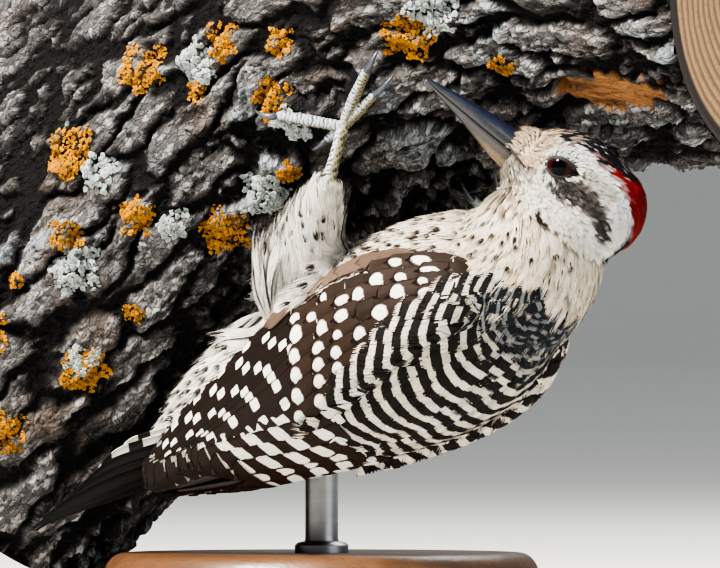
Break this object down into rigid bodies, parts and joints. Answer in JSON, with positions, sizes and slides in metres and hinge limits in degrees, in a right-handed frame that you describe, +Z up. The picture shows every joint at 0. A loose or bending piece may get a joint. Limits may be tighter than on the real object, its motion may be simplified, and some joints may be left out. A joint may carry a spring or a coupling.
{
  "type": "woodpecker",
  "caption": "Male ladder-backed woodpecker clinging under a cut length of sloping branch, held by a round display stand.",
  "frame": {"origin": "centre of the flat underside of the stand's round base", "axes": "+Z up; +X towards the bird's head end of the branch; the bird's left side faces between +X and -Y"},
  "size_m": [0.2389, 0.1103, 0.187],
  "materials": {
    "plumage_white": "soft feathers",
    "plumage_barred": "barred and spotted feathers",
    "tail_black": "glossy black feathers",
    "bill_slate": "polished horn",
    "eye_brown": "wet gloss",
    "foot_grey": "scaly skin",
    "claw_dark": "horn",
    "bark": "furrowed bark",
    "stand_wood": "satin varnish",
    "stand_metal": "dark satin"
  },
  "bodies": {
    "root": {"bill_lower": "bill_slate", "bill_upper": "bill_slate", "claw_first_left": "claw_dark", "claw_first_right": "claw_dark", "claw_fourth_left": "claw_dark", "claw_fourth_right": "claw_dark", "claw_second_left": "claw_dark", "claw_second_right": "claw_dark", "claw_third_left": "claw_dark", "claw_third_right": "claw_dark", "eye_left": "eye_brown", "eye_right": "eye_brown", "foot_left": "foot_grey", "foot_right": "foot_grey", "head": "plumage_white", "neck": "plumage_white", "perch": "bark", "stand_base": "stand_wood", "stand_rod": "stand_metal", "tail": "tail_black", "thigh_left": "plumage_white", "thigh_right": "plumage_white", "trunk": "plumage_white", "wing_left": "plumage_barred", "wing_right": "plumage_barred"}
  },
  "joints": []
}
